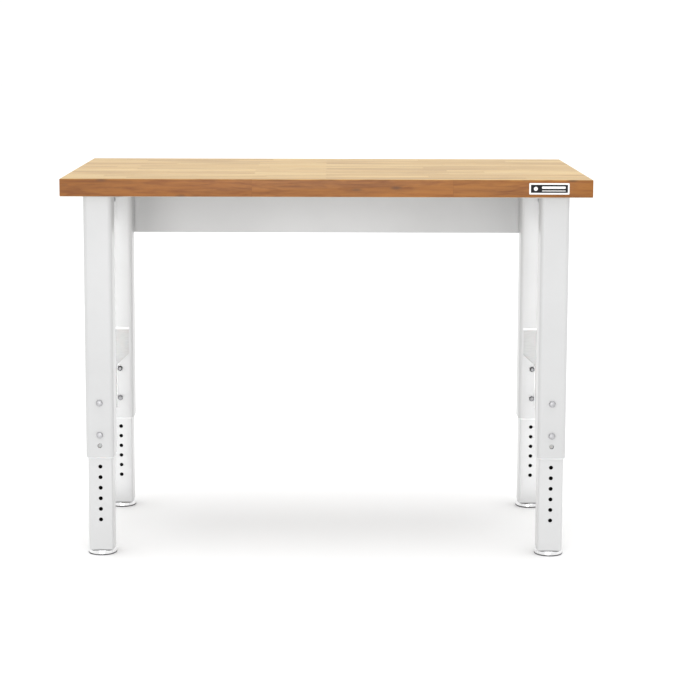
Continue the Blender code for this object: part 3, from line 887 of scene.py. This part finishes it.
def foot(leg, bright, rubber, plastic):
    """Levelling foot: a pressed, plated pad on a thin rubber base, and its threaded stud. The base's
    near-black colour is partly rubber, partly painted contact shadow.
    """
    node_name = leg + "_foot"
    low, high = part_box(node_name)
    x, y, _ = middle(node_name)
    radius = (high[0] - low[0]) / 2
    matrix = Matrix.Translation((x, y, low[2]))
    base = [(0, 0.0), (radius - 0.0012, 0.0), (radius - 0.0003, 0.0003), (radius, 0.0010),
            (radius, FOOT_BASE - 0.0004), (radius - 0.0004, FOOT_BASE), (0, FOOT_BASE)]
    mesh = turned(node_name, base, 72, matrix)
    mesh.shade_smooth()
    mesh.set_sharp_from_angle(angle=radians(50))
    finished(leg + "_foot_base", mesh, [rubber], leg + "_leveller", [node_name])
    pad = [(0, FOOT_BASE), (radius - 0.0012, FOOT_BASE), (radius - 0.0004, FOOT_BASE + 0.0003),
           (radius - 0.0002, 0.0036), (radius - 0.0007, 0.0046), (radius - 0.0008, 0.0085),
           (radius - 0.0014, 0.0100), (radius - 0.0032, 0.0109), (radius - 0.0080, 0.0110),
           *threaded(STUD_RADIUS, 0.0111, high[2] - low[2], 0.0015, 0.0005),
           (0, high[2] - low[2])]
    mesh = turned(node_name, pad, 72, matrix)
    mesh.shade_smooth()
    mesh.set_sharp_from_angle(angle=radians(50))
    finished(leg + "_levelling_foot", mesh, [bright], leg + "_leveller", [node_name])
    plug_name = leg + "_foot_plug"
    low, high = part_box(plug_name)
    plug = tube_plug(plug_name, (x, y), high[0] - low[0], low[2], high[2])
    finished(leg + "_end_plug", plug, [plastic], leg + "_inner_leg", [plug_name])


def tube_plug(name, centre, width, bottom, top):
    """Square plug with eased edges and the stud's bore."""
    place = Matrix.Translation((*centre, 0))
    blank = prism(name, rounded_outline(width, width, PLUG_CORNER), bottom, top, place)
    bore = prism("bore", polygon(PLUG_BORE, 24), bottom - 0.001, top + 0.001, place)
    return rounded(boolean(blank, bore), 0.0004)


def channel_outline(flange, height, sheet):
    """C section, flanges towards +X, with its bends rounded inside and out."""
    def bend(cx, cy, radius, first, last, steps=6):
        return [(cx + radius * cos(first + (last - first) * i / steps),
                 cy + radius * sin(first + (last - first) * i / steps)) for i in range(steps + 1)]

    r = BEND_RADIUS
    points = [(flange, 0), (flange, sheet)]
    inner = r - sheet
    points += bend(r, r, inner, -pi / 2, -pi)
    points += bend(r, height - r, inner, pi, pi / 2)
    points += [(flange, height - sheet), (flange, height)]
    points += bend(r, height - r, r, pi / 2, pi)
    points += bend(r, r, r, pi, 3 * pi / 2)
    return points


def screw_holes(mesh, indices, top):
    """The mesh with a clearance hole for each numbered wood screw in its top flange."""
    for index in indices:
        x, y, _ = middle(f"wood_screw_{index}")
        drill = prism("drill", polygon(SCREW_HOLE_RADIUS, 24), top - OVERCUT, top + OVERCUT,
                      Matrix.Translation((x, y, 0)))
        mesh = boolean(mesh, drill)
    return mesh


def back_apron(paint):
    """Channel behind the rear legs."""
    low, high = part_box("back_apron")
    outline = channel_outline(high[1] - low[1], high[2] - low[2], WALL)
    cyclic = Matrix(((0, 0, 1, 0), (1, 0, 0, low[1]), (0, 1, 0, low[2]), (0, 0, 0, 1)))
    mesh = prism("back_apron", outline, low[0], high[0], cyclic)
    places = []
    for side in ("left", "right"):
        for level in ("low", "high"):
            x, _, z = middle(f"apron_bolt_{side}_{level}")
            places.append((x, z))
    mesh = boolean(mesh, pegs(places, FRAME_HOLE_RADIUS, low[1] - OVERCUT, low[1] + OVERCUT))
    mesh = screw_holes(mesh, (5, 6), high[2])
    finished("rear_apron", rounded(mesh), [paint], "bench", ["back_apron"])


def side_rail(side, paint):
    """Folded rail: web, top flange and end tabs."""
    node_name = f"side_rail_{side}"
    low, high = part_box(node_name)
    out = -1 if side == "left" else 1
    web = low[0] if side == "left" else high[0]
    inner_edge = high[0] if side == "left" else low[0]
    tab = web - out * TAB_WIDTH

    def box(x_a, x_b, y_a, y_b, z_a):
        x_low, x_high = sorted((x_a, x_b))
        outline = [(x_low, y_a), (x_high, y_a), (x_high, y_b), (x_low, y_b)]
        return prism(node_name, outline, z_a, high[2], Matrix.Identity(4))

    mesh = box(web, web - out * WALL, low[1], high[1], low[2])
    for extra in (box(web, inner_edge, low[1], high[1], high[2] - WALL),
                  box(web, tab, low[1], low[1] + WALL, low[2]),
                  box(web, tab, high[1] - WALL, high[1], low[2])):
        mesh = boolean(mesh, extra, "UNION")
    x, _, z = middle(f"rail_bolt_{side}_front")
    mesh = boolean(mesh, pegs([(x, z)], FRAME_HOLE_RADIUS, low[1] - OVERCUT, high[1] + OVERCUT))
    mesh = screw_holes(mesh, (1, 2) if side == "left" else (3, 4), high[2])
    finished(f"{side}_side_rail", rounded(mesh, 0.0007, 3), [paint], "bench", [node_name])


# --------------------------------------------------------------------- stage


def camera():
    """The one camera: pitched down a little, with a slight roll."""
    data = bpy.data.cameras.new("camera")
    data.lens = CAMERA_LENS
    data.sensor_width = 36.0
    data.shift_x, data.shift_y = CAMERA_SHIFT
    data.clip_end = 100.0
    obj = bpy.data.objects.new("camera", data)
    obj.matrix_world = (Matrix.Translation(CAMERA_PLACE)
                        @ Matrix.Rotation(pi / 2 - CAMERA_PITCH, 4, "X")
                        @ Matrix.Rotation(CAMERA_ROLL, 4, "Z"))
    bpy.context.scene.collection.objects.link(obj)
    bpy.context.scene.camera = obj


def area_light(name, place, target, size, power, spread=180, glossy=True):
    """A soft rectangular light; without glossy it leaves no highlight."""
    data = bpy.data.lights.new(name, "AREA")
    data.shape = "RECTANGLE"
    data.size, data.size_y = size
    data.energy = power
    data.spread = radians(spread)
    obj = bpy.data.objects.new(name, data)
    obj.location = place
    obj.visible_camera = False
    obj.visible_glossy = glossy
    obj.rotation_euler = (Vector(target) - Vector(place)).to_track_quat("-Z", "Y").to_euler()
    bpy.context.scene.collection.objects.link(obj)


def stage():
    """White floor and surroundings, a skylight, a softbox in front, a strip behind each front leg
    that lights the rear leg, and a faint glow on the apron.
    """
    bm = bmesh.new()
    bmesh.ops.create_grid(bm, x_segments=1, y_segments=1, size=30.0)
    mesh = mesh_from(bm, "floor")
    floor = bpy.data.objects.new("floor", mesh)
    floor.location = (0, 0, -0.0001)
    mat, _, shader = new_material("floor_white")
    shader.inputs["Base Color"].default_value = (0.91, 0.91, 0.91, 1.0)
    shader.inputs["Roughness"].default_value = 0.6
    shader.inputs["Specular IOR Level"].default_value = 0.2
    mesh.materials.append(mat)
    bpy.context.scene.collection.objects.link(floor)
    world = bpy.data.worlds.new("studio")
    bpy.context.scene.world = world
    world.use_nodes = True
    background = world.node_tree.nodes["Background"]
    background.inputs["Color"].default_value = (1.0, 1.0, 1.0, 1.0)
    background.inputs["Strength"].default_value = WORLD_STRENGTH
    sky = bpy.data.lights.new("skylight", "SUN")
    sky.energy = SKYLIGHT
    sky.angle = radians(SKYLIGHT_SPREAD)
    overhead = bpy.data.objects.new("skylight", sky)
    bpy.context.scene.collection.objects.link(overhead)
    area_light("softbox", FILL_PLACE, (0.0, 0.0, 0.5), FILL_SIZE, FILL_POWER)
    for side in (-1, 1):
        x, y, z = STRIP_PLACE
        area_light("strip", (side * x, y, z), (side * x, y + 1, z), STRIP_SIZE, STRIP_POWER,
                   STRIP_SPREAD, False)
    area_light("apron_glow", GLOW_PLACE, GLOW_AIM, GLOW_SIZE, GLOW_POWER, GLOW_SPREAD, False)
    scene = bpy.context.scene
    scene.view_settings.view_transform = "Standard"
    scene.view_settings.look = "None"


def build():
    """All materials and pieces."""
    paint = powder_coat("white_powder_coat", (0.515, 0.517, 0.518), 0.30)
    # Lighter copy of the white paint for the inner tubes: painted light against the shade low on the
    # legs.
    inner_paint_painted_light = powder_coat("inner_powder_coat_painted_light", (0.552, 0.554, 0.555), 0.30)
    # Paler copy of the white paint: painted highlight on the window's hem and lip.
    highlight_trim_paint = powder_coat("window_trim_painted_highlight", (0.70, 0.70, 0.70), 0.35)
    # Near-black steel inside the tubes: partly bare steel, partly painted shade.
    dark_steel_and_shade = bare_steel_and_painted_shade()
    plastic = nylon("white_nylon", (0.41, 0.41, 0.407), (0.46, 0.46, 0.457))
    # Paler copy of the liner's nylon: painted light on the collar below the outer tube.
    collar = nylon("collar_nylon_painted_light", (0.62, 0.62, 0.62), (0.68, 0.68, 0.68))
    zinc = plated("zinc_plate", (0.47, 0.47, 0.48), (0.33, 0.33, 0.34), 0.46, 0.6)
    dark = plated("dark_zinc", (0.27, 0.27, 0.28), (0.15, 0.15, 0.16), 0.34)
    bright = plated("bright_nickel", (0.90, 0.90, 0.90), (0.78, 0.78, 0.79), 0.14, 0.15)
    # Near-black rubber under the feet: partly real rubber, partly painted contact shadow.
    rubber = enamel("grey_rubber_contact_shade", (0.075, 0.075, 0.078), 0.60)
    worktop(hardwood())
    name_plate(enamel("pale_enamel", (0.72, 0.72, 0.71), 0.35),
               enamel("dark_enamel", (0.004, 0.004, 0.005), 0.55))
    back_apron(paint)
    for side in ("left", "right"):
        side_rail(side, paint)
    for leg in LEGS:
        upper_leg(leg, paint, dark_steel_and_shade, highlight_trim_paint)
        lower_leg(leg, inner_paint_painted_light, dark_steel_and_shade)
        glide_sleeve(leg, plastic, collar)
        leg_fasteners(leg, zinc, dark)
        foot(leg, bright, rubber, plastic)
    frame_fasteners(zinc)


camera()
stage()
build()
